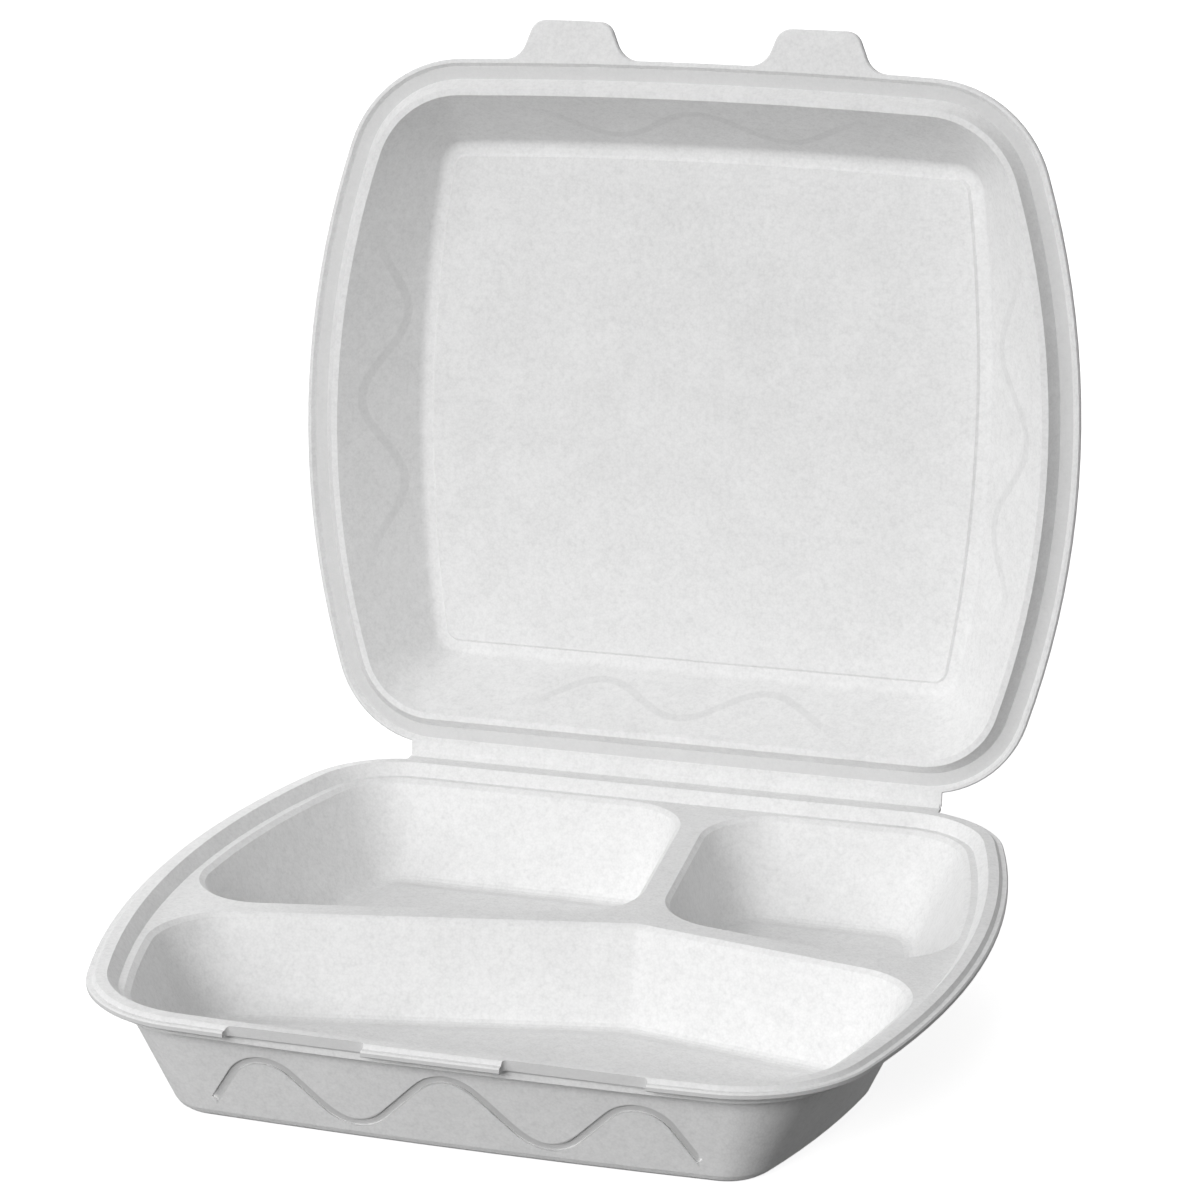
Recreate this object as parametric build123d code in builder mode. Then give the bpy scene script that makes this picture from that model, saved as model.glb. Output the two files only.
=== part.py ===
"""Foam clamshell meal container: a tray with three compartments and a hinged lid, moulded as one sheet."""
import os
from math import cos, radians, sin, tan

from build123d import *

# Rim outline, shared by tray and lid
rim_half_width = 120.0
rim_depth = 213.0
side_bulge = 22.0
side_shift = 4.7
front_bulge = 2.8
front_corner_radius = 38.0
rear_corner_radius = 32.0

# Foam sheet
wall = 2.2
lip_thickness = 1.8
edge_bevel = 0.4

# Rim section: a ridge on the tray fits a groove and a bead on the lid
lip_gap = 0.3
lip_width = 1.6
ridge_height = 1.0
ridge_slope_run = 1.0
ridge_width = 3.0
step_depth = 3.6
step_slope_run = 2.8
ledge_width = 3.1
band_inset = 5.0
fit_clearance = 0.4
groove_floor_thickness = 1.2
bead_width = 1.9

# Tray
rim_height = 33.0
side_draft = 26.0
front_draft = 14.0
rear_draft = 22.0
divider_draft = 12.0
pocket_corner_radius = 20.0
pocket_floor_radius = 11.0
mouth_flare = 1.1
cove_radius = 2.0
foot_radius = 2.5
cove_steps = 3
plateau_margin = 3.5
plateau_rise = 1.4
plateau_slope_run = 5.5

# Divider, a Y seen from above
divider_width = 9.0
junction_x = 22.0
junction_y = 5.6
left_arm_angle = 12.0
right_arm_angle = 11.0
stem_lean = 5.0
bend_radius = 5.0

# Notches in the front lip, one under each lid tab
notch_width = 38.0
notch_depth = 3.4
notch_corner_radius = 1.2

# Lid
open_angle = 96.0
lid_depth = 20.0
panel_side_inset = 30.5
panel_end_inset = 26.0
panel_side_bulge = 7.0
panel_corner_radius = 8.0
panel_border = 3.4
panel_rise = 0.8
panel_slope_run = 0.8
panel_shell_margin = 1.1
lid_cove_radius = 3.0
tab_place_share = 0.3125
tab_base_width = 34.0
tab_tip_width = 23.0
tab_length = 11.0
tab_corner_radius = 5.0
tab_root_radius = 7.0

# Hinge strip
strip_run = 3.5
strip_end_inset = 36.0
strip_thickness = 1.0

# Pressed wave line
wave_length = 52.4
tray_wave_rise = 13.1
lid_wave_rise = 7.0
wave_round = 11.0
wave_line_width = 2.0
wave_depth = 0.6
tray_wave_drop = 19.0
lid_wave_drop = 9.5
wave_end_share = 1.26
wave_end_rise_share = -0.57

# Half sizes of rim and panel, and the radii of their arcs from chord and bulge
rim_half_depth = rim_depth / 2
side_radius = (side_bulge ** 2 + rim_half_depth ** 2) / (2 * side_bulge)
front_half_chord = rim_half_width - side_bulge
front_radius = (front_bulge ** 2 + front_half_chord ** 2) / (2 * front_bulge)
panel_half_width = rim_half_width - panel_side_inset
panel_half_depth = rim_half_depth - panel_end_inset
panel_side_radius = (panel_side_bulge ** 2 + panel_half_depth ** 2) / (2 * panel_side_bulge)

# Levels from the hinge plane; on the lid they count towards the tray
lip_level = -lip_gap / 2
ridge_level = lip_level + ridge_height
ledge_level = ridge_level - step_depth
floor_level = wall - rim_height
base_level = -rim_height
groove_level = -ridge_level - fit_clearance
flange_back_level = groove_level - groove_floor_thickness
bead_level = -ledge_level - fit_clearance
panel_level = -lid_depth
lid_top_level = panel_level - wall

# Insets from the rim's edge
ridge_inset = lip_width + ridge_slope_run
step_inset = ridge_inset + ridge_width
step_foot = step_inset + step_slope_run
pocket_inset = step_foot + ledge_width
groove_inset = lip_width - fit_clearance
bead_foot = step_inset + fit_clearance
bead_inset = step_foot + fit_clearance
cavity_inset = bead_inset + bead_width

# Hinge axis behind the tray, and the middle of the open box from front edge to lid top
axis_reach = rim_half_depth + strip_run
swing = radians(180.0 - open_angle)
lid_top_reach = axis_reach + panel_half_depth + panel_shell_margin
open_depth = rim_half_depth + axis_reach + lid_top_reach * cos(swing) - lid_top_level * sin(swing)
tray_y = rim_half_depth - open_depth / 2
axis_y = tray_y + axis_reach

# Planes of the two rims, both with +Y towards the hinge and +Z out of the hollow
tray_plane = Plane((0, tray_y, rim_height))
lid_plane = Plane(
    origin=(0, axis_y + axis_reach * cos(swing), rim_height + axis_reach * sin(swing)),
    x_dir=(-1, 0, 0),
    z_dir=(0, -sin(swing), cos(swing)),
)
lid_normal = Axis(lid_plane.origin, lid_plane.z_dir)

# Places of the two tabs along the front
tab_places = (-tab_place_share * rim_half_width, tab_place_share * rim_half_width)

# The lid's four walls: the way each one faces, and how far out the rim's edge is there
lid_walls = (
    ((0, -1), rim_half_depth),
    ((0, 1), rim_half_depth),
    ((-1, 0), rim_half_width),
    ((1, 0), rim_half_width),
)

# The sides that bound each compartment inside the rim: angle of a divider and which side of it
left_arm = left_arm_angle
right_arm = -right_arm_angle
stem = 90.0 + stem_lean
compartments = {
    "large": ((left_arm, Align.MAX), (right_arm, Align.MAX)),
    "rear_left": ((left_arm, Align.MIN), (stem, Align.MIN)),
    "rear_right": ((right_arm, Align.MIN), (stem, Align.MAX)),
}


def barrel_region(half_width, side_arc, widest_y, front_reach, front_arc, rear_reach):
    """Face with bulging sides, a bulging front and a straight rear edge, its corners sharp."""
    with BuildSketch() as region:
        with Locations((half_width - side_arc, widest_y)):
            Circle(side_arc)
        with Locations((side_arc - half_width, widest_y)):
            Circle(side_arc, mode=Mode.INTERSECT)
        with Locations((0, front_arc - front_reach)):
            Circle(front_arc, mode=Mode.INTERSECT)
        with Locations((0, rear_reach)):
            Rectangle(
                2 * half_width, 2 * rim_depth, align=(Align.CENTER, Align.MAX), mode=Mode.INTERSECT
            )
    return region.sketch


def rim_region(side_inset, front_inset, rear_inset):
    """The rim's outline with sharp corners, set in by its own amount on each side."""
    return barrel_region(
        rim_half_width - side_inset,
        side_radius - side_inset,
        side_shift,
        rim_half_depth - front_inset,
        front_radius - front_inset,
        rim_half_depth - rear_inset,
    )


def rim_face(inset):
    """The rim's outline, set in evenly."""
    with BuildSketch() as outline:
        add(rim_region(inset, inset, inset))
        fillet(outline.vertices().sort_by(Axis.Y)[:2], front_corner_radius - inset)
        fillet(outline.vertices().sort_by(Axis.Y)[-2:], rear_corner_radius - inset)
    return outline.sketch


def panel_face(grow):
    """The lid panel's outline, made wider all round by grow."""
    with BuildSketch() as outline:
        add(
            barrel_region(
                panel_half_width + grow,
                panel_side_radius + grow,
                0,
                panel_half_depth + grow,
                front_radius + grow,
                panel_half_depth + grow,
            )
        )
        fillet(outline.vertices(), panel_corner_radius + grow)
    return outline.sketch


def compartment_face(name, level, grow):
    """One compartment's outline at a level of its sloping walls, made wider all round by grow."""
    drop = ledge_level - level
    floor_share = drop / (ledge_level - floor_level)
    radius = pocket_corner_radius + (pocket_floor_radius - pocket_corner_radius) * floor_share
    with BuildSketch() as outline:
        add(
            rim_region(
                pocket_inset + drop * tan(radians(side_draft)) - grow,
                pocket_inset + drop * tan(radians(front_draft)) - grow,
                pocket_inset + drop * tan(radians(rear_draft)) - grow,
            )
        )
        half_divider = divider_width / 2 + drop * tan(radians(divider_draft)) - grow
        for angle, side in compartments[name]:
            shift = half_divider if side == Align.MIN else -half_divider
            with Locations(Location((junction_x, junction_y), angle)):
                with Locations((0, shift)):
                    Rectangle(
                        2 * rim_depth, 2 * rim_depth, align=(Align.CENTER, side), mode=Mode.INTERSECT
                    )
        corners = outline.vertices().sort_by(Axis.Y)
        if name == "large":
            fillet(corners[:-1], radius + grow)
            fillet(outline.vertices().sort_by(Axis.Y)[-1], bend_radius)
        else:
            fillet(corners, radius + grow)
    return outline.sketch


def stack(plane, *sections, mode=Mode.ADD):
    """Solid with straight sides through outlines at levels of a plane, added to the part being built."""
    faces = []
    for level, face in sections:
        with BuildSketch(plane.offset(level)) as placed:
            add(face)
        faces.append(placed.sketch)
    return loft(faces, ruled=True, mode=mode)


def bowl(name, floor, grow, radius):
    """Outlines of one compartment from a floor up, its foot rounded in straight steps."""
    sections = []
    for step in range(cove_steps + 1):
        turn = radians(90.0 * step / cove_steps)
        level = floor + radius * (1 - cos(turn))
        sections.append((level, compartment_face(name, level, grow - radius * (1 - sin(turn)))))
    return sections


def plateau(name, level):
    """Cut one compartment's raised floor out of the part being built, from a level upwards."""
    stack(
        tray_plane,
        (level, compartment_face(name, floor_level, -plateau_margin)),
        (
            level + plateau_rise,
            compartment_face(name, floor_level, -plateau_margin - plateau_slope_run),
        ),
        mode=Mode.SUBTRACT,
    )


def pocket(name):
    """The hollow of one compartment: a flared mouth, sloping walls, a cove and a raised floor."""
    mouth_level = ledge_level - mouth_flare
    with BuildPart() as hollow:
        stack(
            tray_plane,
            *bowl(name, floor_level, 0, cove_radius),
            (mouth_level, compartment_face(name, mouth_level, 0)),
            (ledge_level, compartment_face(name, ledge_level, mouth_flare)),
        )
        plateau(name, floor_level)
    return hollow.part


def pod(name):
    """The outside of one compartment, its bottom pushed up under the raised floor."""
    with BuildPart() as shell:
        stack(
            tray_plane,
            *bowl(name, base_level, wall, foot_radius),
            (ledge_level, compartment_face(name, ledge_level, wall)),
        )
        plateau(name, base_level)
    return shell.part


def front_flare(shrink):
    """The sloping outside of the large compartment, made smaller by shrink."""
    return stack(
        tray_plane,
        (base_level, compartment_face("large", base_level, wall - shrink)),
        (ledge_level, compartment_face("large", ledge_level, wall - shrink)),
    )


def flange_face():
    """The lid's rim outline with its two tabs, their tips and roots rounded."""
    root_y = front_bulge - rim_half_depth
    tip_y = -rim_half_depth - tab_length
    with BuildSketch() as outline:
        add(rim_face(0))
        for x in tab_places:
            with BuildLine():
                Polyline(
                    (x - tab_base_width / 2, root_y),
                    (x - tab_tip_width / 2, tip_y),
                    (x + tab_tip_width / 2, tip_y),
                    (x + tab_base_width / 2, root_y),
                    close=True,
                )
            make_face()
        joins = outline.vertices().filter_by_position(Axis.Y, tip_y + tab_length / 2, root_y)
        roots = [v for v in joins if any(abs(v.X - x) < tab_base_width / 2 for x in tab_places)]
        fillet(roots, tab_root_radius)
        fillet(outline.vertices().group_by(Axis.Y)[0], tab_corner_radius)
    return outline.sketch


def lid_hollow():
    """The hollow of the lid: flared walls, a cove and a raised panel with a channel round it."""
    with BuildPart() as hollow:
        stack(lid_plane, (panel_level, panel_face(0)), (bead_level, rim_face(cavity_inset)))
        fillet(hollow.edges().group_by(lid_normal)[0], lid_cove_radius)
        raised_panel(panel_level)
    return hollow.part


def raised_panel(level):
    """Cut the lid's raised panel out of the part being built, from a level upwards."""
    stack(
        lid_plane,
        (level, panel_face(-panel_border)),
        (level + panel_rise, panel_face(-panel_border - panel_slope_run)),
        mode=Mode.SUBTRACT,
    )


def lid_flare(shrink):
    """The flared outside of the lid before its edges are rounded, made smaller by shrink."""
    return stack(
        lid_plane,
        (lid_top_level, panel_face(panel_shell_margin - shrink)),
        (groove_level, rim_face(cavity_inset + shrink)),
    )


def lid_shell():
    """The outside of the lid's hollow, its top pushed in behind the raised panel."""
    with BuildPart() as shell:
        lid_flare(0)
        fillet(shell.edges().group_by(lid_normal)[0], lid_cove_radius + wall)
        raised_panel(lid_top_level)
    return shell.part


def hinge_strip(plane):
    """Half of the thin strip between the rims, from under the lip to the hinge axis."""
    with BuildSketch(plane.offset(lip_level)) as strip:
        with Locations((0, axis_reach)):
            Rectangle(
                2 * (rim_half_width - strip_end_inset),
                strip_run + groove_inset,
                align=(Align.CENTER, Align.MAX),
            )
    return extrude(strip.sketch, amount=-strip_thickness)


def wall_plane(rim_plane, outward, reach, drop):
    """Upright plane outside one wall, facing outward, its centre a drop below the rim's plane."""
    facing = rim_plane.x_dir * outward[0] + rim_plane.y_dir * outward[1]
    origin = rim_plane.origin + facing * reach - rim_plane.z_dir * drop
    return Plane(origin, x_dir=rim_plane.z_dir.cross(facing), z_dir=facing)


def wave_band(plane, reach, rise):
    """A wave line as a solid, from a plane outside a wall towards the middle of the part."""
    end_x = wave_end_share * wave_length
    end_y = wave_end_rise_share * rise
    bends = [(k * wave_length / 2, -rise if k % 2 else rise) for k in range(-2, 3)]
    with BuildSketch(plane) as band:
        with BuildLine():
            FilletPolyline((-end_x, end_y), *bends, (end_x, end_y), radius=wave_round)
        trace(line_width=wave_line_width)
    return extrude(band.sketch, amount=-reach)


pods = [pod(name) for name in compartments]
pockets = [pocket(name) for name in compartments]

with BuildPart() as front_core:
    front_flare(wave_depth)

with BuildPart() as front_wave:
    front_plane = wall_plane(tray_plane, (0, -1), rim_half_depth, tray_wave_drop)
    wave_band(front_plane, rim_half_depth / 2, tray_wave_rise)
    add(front_core.part, mode=Mode.SUBTRACT)

with BuildPart() as lid_core:
    lid_flare(wave_depth)

with BuildPart() as lid_waves:
    for outward, reach in lid_walls:
        wave_band(wall_plane(lid_plane, outward, reach, lid_wave_drop), reach / 2, lid_wave_rise)
    add(lid_core.part, mode=Mode.SUBTRACT)

with BuildPart() as tray:
    # Lip and ridge
    with BuildSketch(tray_plane.offset(lip_level)):
        add(rim_face(0))
    extrude(amount=-lip_thickness)
    chamfer(tray.edges().filter_by(Plane.XY), edge_bevel)
    stack(tray_plane, (lip_level, rim_face(lip_width)), (ridge_level, rim_face(ridge_inset)))
    # Band under the lip, and the ledge with the divider's top
    with BuildSketch(tray_plane.offset(ledge_level - wall)):
        add(rim_face(band_inset))
    extrude(amount=lip_level - ledge_level + wall)
    add(pods)
    stack(
        tray_plane,
        (ledge_level, rim_face(step_foot)),
        (ridge_level, rim_face(step_inset)),
        mode=Mode.SUBTRACT,
    )
    add(pockets, mode=Mode.SUBTRACT)
    hinge_strip(tray_plane)
    # Notches in the front lip
    with BuildSketch(tray_plane.offset(ridge_level)) as notches:
        with Locations([(x, -rim_half_depth) for x in tab_places]):
            Rectangle(notch_width, 2 * notch_depth)
        fillet(notches.vertices(), notch_corner_radius)
    extrude(amount=-ridge_height - lip_thickness, mode=Mode.SUBTRACT)
    add(front_wave.part, mode=Mode.SUBTRACT)

shell = lid_shell()
cavity = lid_hollow()
with BuildPart() as lid:
    # Flange with the two tabs
    with BuildSketch(lid_plane.offset(flange_back_level)):
        add(flange_face())
    extrude(amount=lip_level - flange_back_level)
    chamfer(lid.edges().filter_by(lid_plane), edge_bevel)
    # Groove and bead
    stack(
        lid_plane,
        (groove_level, rim_face(ridge_inset - fit_clearance)),
        (lip_level, rim_face(groove_inset)),
        mode=Mode.SUBTRACT,
    )
    stack(lid_plane, (groove_level, rim_face(bead_foot)), (bead_level, rim_face(bead_inset)))
    add(shell)
    add(cavity, mode=Mode.SUBTRACT)
    hinge_strip(lid_plane)
    add(lid_waves.part, mode=Mode.SUBTRACT)

tray.part.label = "tray"
lid.part.label = "lid"
os.makedirs("parts", exist_ok=True)
export_step(tray.part, "parts/tray.step")
export_step(lid.part, "parts/lid.step")
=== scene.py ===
"""Foam clamshell container: foam materials, the hinge fold, studio light and camera."""
from math import cos, hypot, pi, radians, sin

import bmesh
import bpy
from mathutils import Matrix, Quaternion, Vector


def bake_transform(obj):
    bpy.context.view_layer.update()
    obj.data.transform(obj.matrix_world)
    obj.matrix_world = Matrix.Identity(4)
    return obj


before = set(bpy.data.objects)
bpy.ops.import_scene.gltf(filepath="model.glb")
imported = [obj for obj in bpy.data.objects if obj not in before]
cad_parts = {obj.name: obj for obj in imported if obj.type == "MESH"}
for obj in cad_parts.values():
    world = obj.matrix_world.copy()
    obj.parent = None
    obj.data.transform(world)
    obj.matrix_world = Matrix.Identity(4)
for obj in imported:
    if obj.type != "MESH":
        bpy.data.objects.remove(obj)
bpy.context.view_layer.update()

mm = 0.001

# Hinge axis, and how far the lid at rest has risen from lying flat behind the tray
hinge_y = 87.197 * mm
hinge_z = 33.0 * mm
lid_rise = radians(84.0)

# Hinge fold
fold_half_length = 83.6 * mm
fold_inner_radius = 0.15 * mm
fold_outer_radius = 1.12 * mm
fold_tail = 1.0 * mm
fold_steps = 10
fold_length_steps = 80

# Middle of each rim: how far the lid's is from the hinge, and the y of the tray's
lid_reach = 110.0 * mm
tray_middle_y = -22.803 * mm

# Wave line on the walls, the painted shade that darkens its groove, and the height above which
# there is none
wave_length = 52.4 * mm
wave_half_width = 0.9 * mm
wave_soft = 0.45 * mm
wave_top_level = -3.0 * mm

# Last bend of the tray's wave line and the straight run that ends it
end_arc_start = 42.9 * mm
end_arc_middle = 50.65 * mm
end_arc_drop = 4.2 * mm
end_arc_radius = 11.0 * mm
end_run_start = 59.8 * mm
end_run_level = 1.86 * mm
end_run_slope = 1.512

# Painted shade on the outward cut and stepped edges of the rims
edge_reach = 3.2 * mm
edge_flat_limit = 0.8
edge_soft = 0.3

# Painted shade on the floor of the lid's rim groove
groove_level = -1.25 * mm
groove_reach = 0.3 * mm
groove_facing = 0.9

# Places and strengths of the painted shade, in the frame of each rim
lid_painted_shade = {
    "place": (0, hinge_y + lid_reach * cos(lid_rise), hinge_z + lid_reach * sin(lid_rise)),
    "turn": lid_rise,
    "wave_on_all_walls": True,
    "wave_level": -9.5 * mm,
    "wave_swing": 5.5 * mm,
    "wave_start": 82.0 * mm,
    "wave_reach": 56.0 * mm,
    "wave_fade": 18.0 * mm,
    "wave_shade_strength": 0.2,
    "edge_shade_strength": 0.1,
    "groove_shade_strength": 0.6,
}
tray_painted_shade = {
    "place": (0, tray_middle_y, hinge_z),
    "turn": 0.0,
    "wave_on_all_walls": False,
    "wave_level": -19.0 * mm,
    "wave_swing": 8.55 * mm,
    "wave_start": 85.0 * mm,
    "wave_reach": 66.0 * mm,
    "wave_fade": 0.6 * mm,
    "wave_shade_strength": 0.85,
    "edge_shade_strength": 0.7,
    "groove_shade_strength": 0.0,
}

# Foam
foam_pale = 0.90
foam_dark = 0.76
# Tone of the painted shade in the wave line's groove
wave_shade_tone = 0.56
# Tone of the painted shade on the rims' outward edges and on the lid's groove floor
rim_shade_tone = 0.60
foam_roughness = 0.55
foam_specular = 0.2
cell_size = 0.75 * mm
grain_size = 1.6 * mm
grain_detail = 2.0
grain_share = 0.5
blotch_size = 4.5 * mm
blotch_detail = 1.0
blotch_share = 0.42
mottle_size = 16.0 * mm
mottle_detail = 1.0
mottle_share = 0.5
cell_bump = 0.35
grain_bump = 0.25
bump_distance = 0.12 * mm

# Camera, at the photograph's place
camera_place = (0.29392, -0.92170, 0.40967)
camera_aim = (-0.02504, 0.09610, 0.08560)
camera_roll = radians(-0.293)
camera_lens = 109.716
sensor_width = 36.0

# Floor and dome
white = 1.0
dome_middle = 0.47
dome_fall = 0.36
floor_half_size = 4.0
floor_camera_glow = 0.88
floor_camera_tone = 0.42
floor_bounce_tone = 0.06

# Lamps: place, aim, width, height and power
lamps = {
    "front": ((-0.20, -1.95, 1.02), (0.0, 0.05, 0.08), 0.9, 0.7, 22.0),
    "left": ((-1.50, -1.50, 0.80), (0.0, 0.05, 0.08), 0.9, 0.7, 7.0),
    "rear": ((-0.45, 1.90, 1.00), (0.0, 0.10, 0.10), 0.8, 0.8, 13.0),
}


def grey(tone):
    """An opaque grey."""
    return (tone, tone, tone, 1.0)


def give(piece, material):
    """Gives a piece one material."""
    piece.data.materials.clear()
    piece.data.materials.append(material)


def new_material(name):
    """A material and its node tree."""
    material = bpy.data.materials.new(name)
    material.use_nodes = True
    return material, material.node_tree


def math_node(tree, operation, first, second=None, clamp=False):
    """A math node's output; its inputs are sockets or numbers."""
    node = tree.nodes.new("ShaderNodeMath")
    node.operation = operation
    node.use_clamp = clamp
    for socket, value in zip(node.inputs, (first, second)):
        if value is None:
            continue
        if isinstance(value, (int, float)):
            socket.default_value = value
        else:
            tree.links.new(value, socket)
    return node.outputs[0]


def split_xyz(tree, vector):
    """The three parts of a vector."""
    node = tree.nodes.new("ShaderNodeSeparateXYZ")
    tree.links.new(vector, node.inputs[0])
    return node.outputs


def noise(tree, where, size, detail):
    """Soft noise whose features are about one size across."""
    node = tree.nodes.new("ShaderNodeTexNoise")
    node.inputs["Scale"].default_value = 1 / size
    node.inputs["Detail"].default_value = detail
    tree.links.new(where, node.inputs["Vector"])
    return node.outputs[0]


def cells(tree, where, size):
    """Distance to the middle of each foam cell."""
    node = tree.nodes.new("ShaderNodeTexVoronoi")
    node.inputs["Scale"].default_value = 1 / size
    tree.links.new(where, node.inputs["Vector"])
    return node.outputs["Distance"]


def mix_colour(tree, amount, low, high):
    """A colour between two, each a socket or the tone of a grey."""
    node = tree.nodes.new("ShaderNodeMix")
    node.data_type = "RGBA"
    tree.links.new(amount, node.inputs["Factor"])
    colours = [s for s in node.inputs if s.type == "RGBA"]
    for socket, value in zip(colours, (low, high)):
        if isinstance(value, float):
            socket.default_value = grey(value)
        else:
            tree.links.new(value, socket)
    return [s for s in node.outputs if s.type == "RGBA"][0]


def bump(tree, height, strength, normal=None):
    """The normal of a bumpy surface, on top of another bump where one is given."""
    node = tree.nodes.new("ShaderNodeBump")
    node.inputs["Strength"].default_value = strength
    node.inputs["Distance"].default_value = bump_distance
    tree.links.new(height, node.inputs["Height"])
    if normal is not None:
        tree.links.new(normal, node.inputs["Normal"])
    return node.outputs[0]


def rim_frame(tree, vector, place, turn):
    """A vector's parts in the frame of a rim: across it, along its depth, and out of the hollow."""
    node = tree.nodes.new("ShaderNodeMapping")
    node.vector_type = "TEXTURE"
    node.inputs["Location"].default_value = place
    node.inputs["Rotation"].default_value = (turn, 0, 0)
    tree.links.new(vector, node.inputs["Vector"])
    return split_xyz(tree, node.outputs[0])


def pick(tree, limit, value, low, high):
    """One of two values: low where the value is up to the limit, high where it is above."""
    above = math_node(tree, "GREATER_THAN", value, limit)
    below = math_node(tree, "SUBTRACT", 1.0, above)
    first = math_node(tree, "MULTIPLY", low, below)
    second = math_node(tree, "MULTIPLY", high, above)
    return math_node(tree, "ADD", first, second)


def wave_distance(tree, along, level, painted_shade):
    """Distance to the repeating part of a wave line, measured across the line."""
    pace = 2 * pi / wave_length
    turn = math_node(tree, "MULTIPLY", along, pace)
    crest = math_node(tree, "COSINE", turn)
    height = math_node(tree, "MULTIPLY", crest, painted_shade["wave_swing"])
    off = math_node(tree, "SUBTRACT", level, height)
    slope = math_node(tree, "SINE", turn)
    slope = math_node(tree, "MULTIPLY", slope, painted_shade["wave_swing"] * pace)
    stretch = math_node(tree, "ADD", math_node(tree, "MULTIPLY", slope, slope), 1.0)
    lean = math_node(tree, "INVERSE_SQRT", stretch)
    return math_node(tree, "ABSOLUTE", math_node(tree, "MULTIPLY", off, lean))


def end_distance(tree, reach, level):
    """Distance to the last bend of the tray's wave line and to the run that ends it."""
    aside = math_node(tree, "SUBTRACT", reach, end_arc_middle)
    over = math_node(tree, "ADD", level, end_arc_drop)
    over = math_node(tree, "MAXIMUM", over, 0.0)
    square = math_node(tree, "ADD", math_node(tree, "MULTIPLY", aside, aside),
                       math_node(tree, "MULTIPLY", over, over))
    radius = math_node(tree, "SQRT", square)
    bend = math_node(tree, "ABSOLUTE", math_node(tree, "SUBTRACT", radius, end_arc_radius))
    run = math_node(tree, "SUBTRACT", reach, end_run_start)
    run = math_node(tree, "MULTIPLY", run, end_run_slope)
    run = math_node(tree, "ADD", math_node(tree, "ADD", level, run), -end_run_level)
    run = math_node(tree, "MULTIPLY", run, 1 / hypot(1, end_run_slope))
    run = math_node(tree, "ABSOLUTE", run)
    return pick(tree, end_run_start, reach, bend, run)


def line_mask(tree, along, level, painted_shade):
    """One on the wave line along a wall, nothing away from it."""
    level = math_node(tree, "SUBTRACT", level, painted_shade["wave_level"])
    reach = math_node(tree, "ABSOLUTE", along)
    off = wave_distance(tree, along, level, painted_shade)
    if not painted_shade["wave_on_all_walls"]:
        off = pick(tree, end_arc_start, reach, off, end_distance(tree, reach, level))
    past = math_node(tree, "SUBTRACT", off, wave_half_width)
    past = math_node(tree, "DIVIDE", past, wave_soft, clamp=True)
    on_line = math_node(tree, "SUBTRACT", 1.0, past)
    inside = math_node(tree, "SUBTRACT", painted_shade["wave_reach"], reach)
    inside = math_node(tree, "DIVIDE", inside, painted_shade["wave_fade"], clamp=True)
    return math_node(tree, "MULTIPLY", on_line, inside)


def wave_shade_mask(tree, spot, facing, painted_shade):
    """Painted shade along the wave line's groove, on the walls that carry it, below the rim's
    flange.
    """
    across, depth, level = spot
    line = line_mask(tree, across, level, painted_shade)
    if painted_shade["wave_on_all_walls"]:
        at_end = math_node(tree, "ABSOLUTE", depth)
        at_end = math_node(tree, "GREATER_THAN", at_end, painted_shade["wave_start"])
        at_side = math_node(tree, "ABSOLUTE", across)
        at_side = math_node(tree, "GREATER_THAN", at_side, painted_shade["wave_start"])
        side_line = line_mask(tree, depth, level, painted_shade)
        line = math_node(tree, "MAXIMUM", math_node(tree, "MULTIPLY", line, at_end),
                         math_node(tree, "MULTIPLY", side_line, at_side))
    else:
        at_front = math_node(tree, "LESS_THAN", depth, -painted_shade["wave_start"])
        to_front = math_node(tree, "LESS_THAN", facing[1], 0.0)
        line = math_node(tree, "MULTIPLY", math_node(tree, "MULTIPLY", line, at_front), to_front)
    low = math_node(tree, "LESS_THAN", level, wave_top_level)
    return math_node(tree, "MULTIPLY", line, low)


def edge_shade_mask(tree, spot, facing):
    """Painted shade: one on the rim's steps and cut edges that face outwards, nothing elsewhere."""
    across, depth, level = spot
    side, end, up = facing
    outward = math_node(tree, "ADD", math_node(tree, "MULTIPLY", across, side),
                        math_node(tree, "MULTIPLY", depth, end))
    outward = math_node(tree, "GREATER_THAN", outward, 0.0)
    steep = math_node(tree, "SUBTRACT", edge_flat_limit, math_node(tree, "ABSOLUTE", up))
    steep = math_node(tree, "DIVIDE", steep, edge_soft, clamp=True)
    near = math_node(tree, "LESS_THAN", math_node(tree, "ABSOLUTE", level), edge_reach)
    return math_node(tree, "MULTIPLY", math_node(tree, "MULTIPLY", outward, steep), near)


def groove_shade_mask(tree, spot, facing):
    """Painted shade: one on the floor of the rim's groove, nothing elsewhere."""
    off = math_node(tree, "ABSOLUTE", math_node(tree, "SUBTRACT", spot[2], groove_level))
    near = math_node(tree, "LESS_THAN", off, groove_reach)
    flat = math_node(tree, "GREATER_THAN", facing[2], groove_facing)
    return math_node(tree, "MULTIPLY", near, flat)


def paint_rim_shade(tree, colour, coordinates, painted_shade):
    """A colour with the painted shade of one rim laid over it."""
    spot = rim_frame(tree, coordinates["Object"], painted_shade["place"], painted_shade["turn"])
    facing = rim_frame(tree, coordinates["Normal"], (0, 0, 0), painted_shade["turn"])
    shade_layers = [
        (wave_shade_mask(tree, spot, facing, painted_shade), painted_shade["wave_shade_strength"], wave_shade_tone),
        (edge_shade_mask(tree, spot, facing), painted_shade["edge_shade_strength"], rim_shade_tone),
    ]
    if painted_shade["groove_shade_strength"] > 0:
        shade_layers.append((groove_shade_mask(tree, spot, facing), painted_shade["groove_shade_strength"], rim_shade_tone))
    for mask, strength, tone in shade_layers:
        colour = mix_colour(tree, math_node(tree, "MULTIPLY", mask, strength), colour, tone)
    return colour


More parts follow.
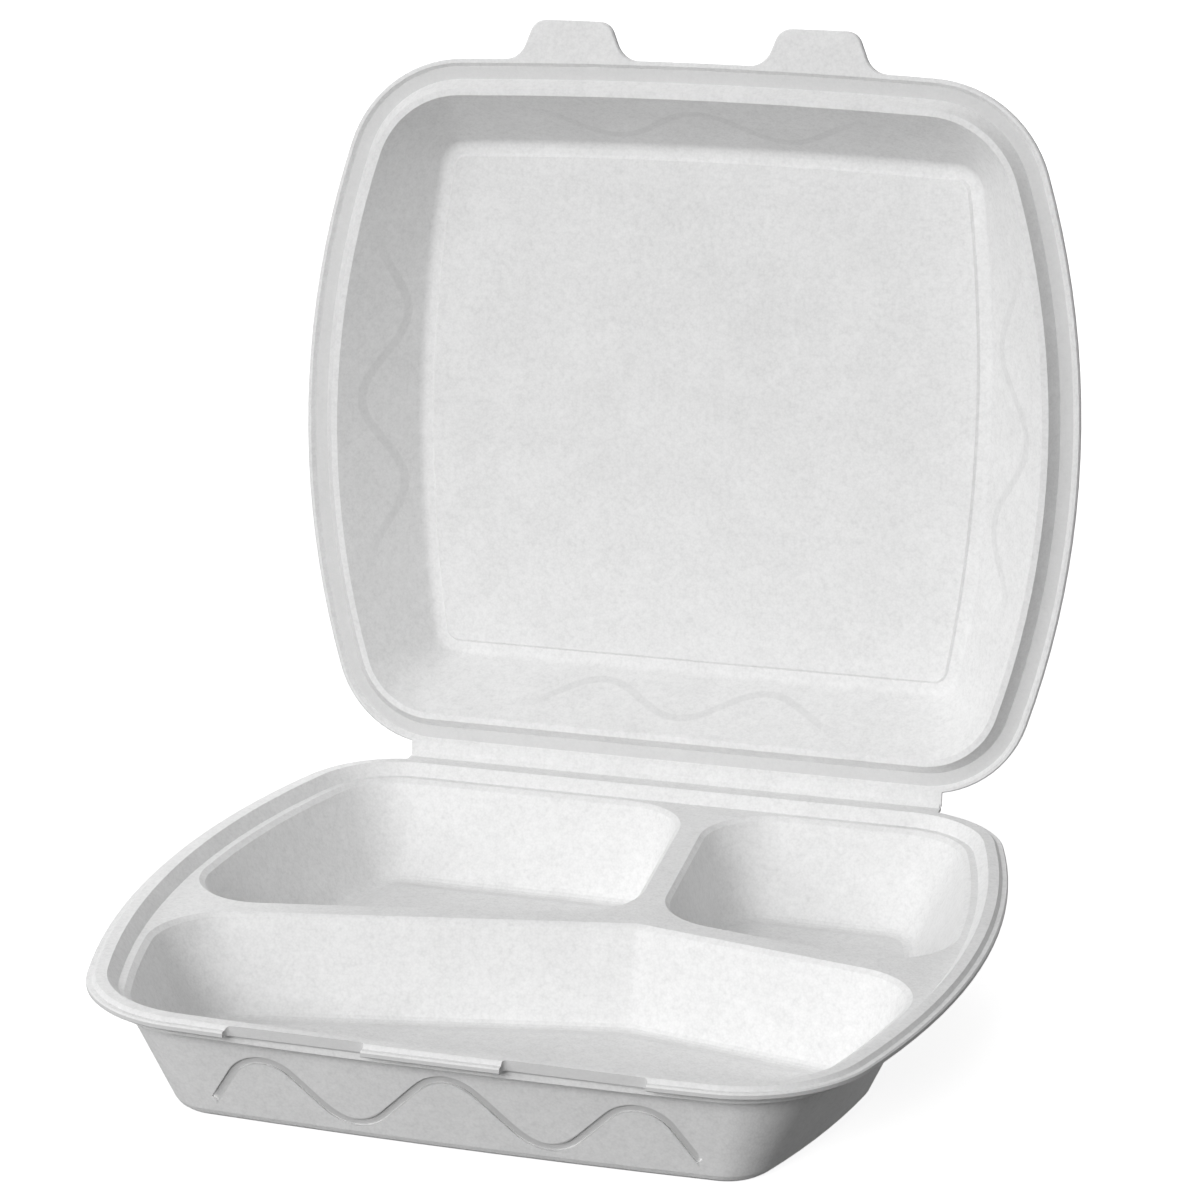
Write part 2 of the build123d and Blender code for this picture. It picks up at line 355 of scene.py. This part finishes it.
def foam(name, painted_shade=None):
    """White foam sheet with fine cells and soft blotches, with painted shade on the rims and wave
    grooves where its settings are given.
    """
    material, tree = new_material(name)
    coordinates = tree.nodes.new("ShaderNodeTexCoord").outputs
    where = coordinates["Object"]
    fine = cells(tree, where, cell_size)
    grain = noise(tree, where, grain_size, grain_detail)
    mottle = noise(tree, where, mottle_size, mottle_detail)
    blotch = noise(tree, where, blotch_size, blotch_detail)
    tone = math_node(tree, "MULTIPLY", fine, grain)
    for layer, share in ((mottle, mottle_share), (grain, grain_share), (blotch, blotch_share)):
        tone = math_node(tree, "ADD", tone, math_node(tree, "MULTIPLY", layer, share))
    tone = math_node(tree, "SUBTRACT", tone, (grain_share + blotch_share) / 2)
    colour = mix_colour(tree, tone, foam_pale, foam_dark)
    if painted_shade is not None:
        colour = paint_rim_shade(tree, colour, coordinates, painted_shade)
    normal = bump(tree, fine, cell_bump)
    normal = bump(tree, grain, grain_bump, normal)
    shader = tree.nodes["Principled BSDF"]
    tree.links.new(colour, shader.inputs["Base Color"])
    tree.links.new(normal, shader.inputs["Normal"])
    shader.inputs["Roughness"].default_value = foam_roughness
    shader.inputs["Specular IOR Level"].default_value = foam_specular
    return material


def fold_section():
    """Outline of the bend across the hinge axis: round outside, filled at the inside corner."""
    up = Vector((0, cos(lid_rise), sin(lid_rise)))
    out = Vector((0, sin(lid_rise), -cos(lid_rise)))
    front = Vector((0, -1, 0))
    below = Vector((0, 0, -1))
    turns = [-pi / 2 + lid_rise * step / fold_steps for step in range(fold_steps + 1)]
    outside = [Vector((0, cos(turn), sin(turn))) * fold_outer_radius for turn in turns]
    first = front * fold_tail
    last = up * fold_tail
    inside_last = last + out * fold_inner_radius
    inside_first = first + below * fold_inner_radius
    inside = [inside_last.lerp(inside_first, step / fold_steps) for step in range(fold_steps + 1)]
    return [first + below * fold_outer_radius] + outside + [last + out * fold_outer_radius] + inside


def hinge_fold(material):
    """The bend of the sheet between tray and lid, round the hinge axis."""
    shape = bmesh.new()
    section = fold_section()
    rows = []
    for place in range(fold_length_steps + 1):
        x = -fold_half_length + 2 * fold_half_length * place / fold_length_steps
        middle = Vector((x, hinge_y, hinge_z))
        rows.append([shape.verts.new(middle + spot) for spot in section])
    around = len(section)
    for row, following in zip(rows, rows[1:]):
        for spot in range(around):
            after = (spot + 1) % around
            shape.faces.new((row[spot], row[after], following[after], following[spot]))
    shape.faces.new(rows[0][::-1])
    shape.faces.new(rows[-1])
    bmesh.ops.recalc_face_normals(shape, faces=shape.faces)
    mesh = bpy.data.meshes.new("hinge_fold")
    shape.to_mesh(mesh)
    shape.free()
    piece = bpy.data.objects.new("hinge_fold", mesh)
    bpy.context.scene.collection.objects.link(piece)
    give(piece, material)
    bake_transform(piece)


def show(tree, seen, other, output):
    """Shows one shader to camera, glossy and transmission rays and the other to the rest."""
    path = tree.nodes.new("ShaderNodeLightPath").outputs
    direct = math_node(tree, "MAXIMUM", path["Is Camera Ray"], path["Is Glossy Ray"])
    direct = math_node(tree, "MAXIMUM", direct, path["Is Transmission Ray"])
    choose = tree.nodes.new("ShaderNodeMixShader")
    tree.links.new(direct, choose.inputs[0])
    tree.links.new(other.outputs[0], choose.inputs[1])
    tree.links.new(seen.outputs[0], choose.inputs[2])
    tree.links.new(choose.outputs[0], tree.nodes[output].inputs["Surface"])


def diffuse(tree, tone):
    """A matt grey shader."""
    node = tree.nodes.new("ShaderNodeBsdfDiffuse")
    node.inputs["Color"].default_value = grey(tone)
    return node


def floor():
    """A pale floor that shows white to the camera, keeps the shadow and bounces little."""
    bpy.ops.mesh.primitive_plane_add(size=2 * floor_half_size, location=(0, 0, 0))
    piece = bpy.context.object
    piece.name = "floor"
    material, tree = new_material("floor")
    tree.nodes.remove(tree.nodes["Principled BSDF"])
    glow = tree.nodes.new("ShaderNodeEmission")
    glow.inputs["Strength"].default_value = floor_camera_glow
    seen = tree.nodes.new("ShaderNodeAddShader")
    tree.links.new(glow.outputs[0], seen.inputs[0])
    tree.links.new(diffuse(tree, floor_camera_tone).outputs[0], seen.inputs[1])
    show(tree, seen, diffuse(tree, floor_bounce_tone), "Material Output")
    give(piece, material)


def surroundings():
    """Soft light from all round, stronger from the left, white where the camera sees it."""
    world = bpy.data.worlds.new("studio")
    bpy.context.scene.world = world
    world.use_nodes = True
    tree = world.node_tree
    light = tree.nodes["Background"]
    light.inputs["Color"].default_value = grey(white)
    direction = split_xyz(tree, tree.nodes.new("ShaderNodeTexCoord").outputs["Generated"])
    fall = math_node(tree, "MULTIPLY", direction[0], dome_fall)
    tree.links.new(math_node(tree, "SUBTRACT", dome_middle, fall), light.inputs["Strength"])
    backdrop = tree.nodes.new("ShaderNodeBackground")
    backdrop.inputs["Color"].default_value = grey(white)
    backdrop.inputs["Strength"].default_value = white
    show(tree, backdrop, light, "World Output")


def lamp(name, place, aim, width, height, power):
    """A soft rectangular lamp."""
    data = bpy.data.lights.new(name, "AREA")
    data.shape = "RECTANGLE"
    data.size = width
    data.size_y = height
    data.energy = power
    piece = bpy.data.objects.new(name, data)
    piece.location = place
    piece.rotation_euler = (Vector(aim) - Vector(place)).to_track_quat("-Z", "Y").to_euler()
    piece.visible_camera = False
    bpy.context.scene.collection.objects.link(piece)


def camera():
    """The photograph's camera."""
    data = bpy.data.cameras.new("camera")
    data.lens = camera_lens
    data.sensor_width = sensor_width
    data.sensor_fit = "HORIZONTAL"
    piece = bpy.data.objects.new("camera", data)
    piece.location = camera_place
    look = (Vector(camera_aim) - Vector(camera_place)).to_track_quat("-Z", "Y")
    roll = Quaternion((0, 0, 1), camera_roll)
    piece.rotation_mode = "QUATERNION"
    piece.rotation_quaternion = look @ roll
    bpy.context.scene.collection.objects.link(piece)
    bpy.context.scene.camera = piece


# Object
# Tray and lid foam, with painted shade in the wave grooves, on the outward rim edges and on the
# lid's groove floor
give(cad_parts["tray"], foam("tray_foam_painted_shade", tray_painted_shade))
give(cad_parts["lid"], foam("lid_foam_painted_shade", lid_painted_shade))
hinge_fold(foam("fold_foam"))

# Studio
floor()
surroundings()
for lamp_name, settings in lamps.items():
    lamp(lamp_name, *settings)
camera()
bpy.context.scene.view_settings.view_transform = "Standard"
